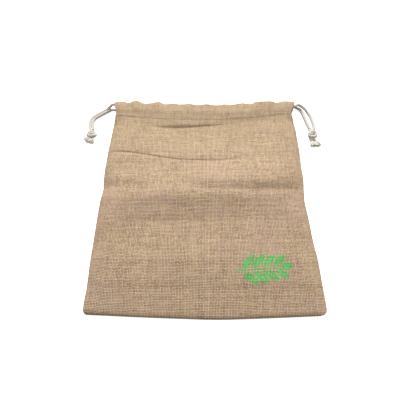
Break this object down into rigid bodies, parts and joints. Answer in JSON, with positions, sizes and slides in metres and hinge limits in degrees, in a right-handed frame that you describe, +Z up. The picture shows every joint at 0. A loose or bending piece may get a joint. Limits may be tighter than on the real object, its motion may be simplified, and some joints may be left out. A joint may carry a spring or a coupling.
{
  "type": "burlap drawstring bag",
  "caption": "Empty burlap drawstring bag lying flat on its back, with a gathered casing at the mouth and knotted cotton cord ends at both top corners.",
  "frame": {"origin": "on the surface that the bag lies on, under the middle of the bag without its free cord ends", "axes": "+Z up off the surface, +Y from the bottom seam to the mouth, +X to the right seen from above with the mouth away"},
  "size_m": [0.3701, 0.3634, 0.0239],
  "materials": {
    "jute": "coarse plain weave of natural jute, matt and slubby",
    "cotton_cord": "soft twisted cotton, matt"
  },
  "bodies": {
    "root": {"front_panel": "jute", "back_panel": "jute", "drawcord_left": "cotton_cord", "drawcord_right": "cotton_cord", "cord_left_front": "cotton_cord", "cord_left_back": "cotton_cord", "cord_right_front": "cotton_cord", "cord_right_back": "cotton_cord", "knot_left": "cotton_cord", "knot_right": "cotton_cord"}
  },
  "joints": []
}
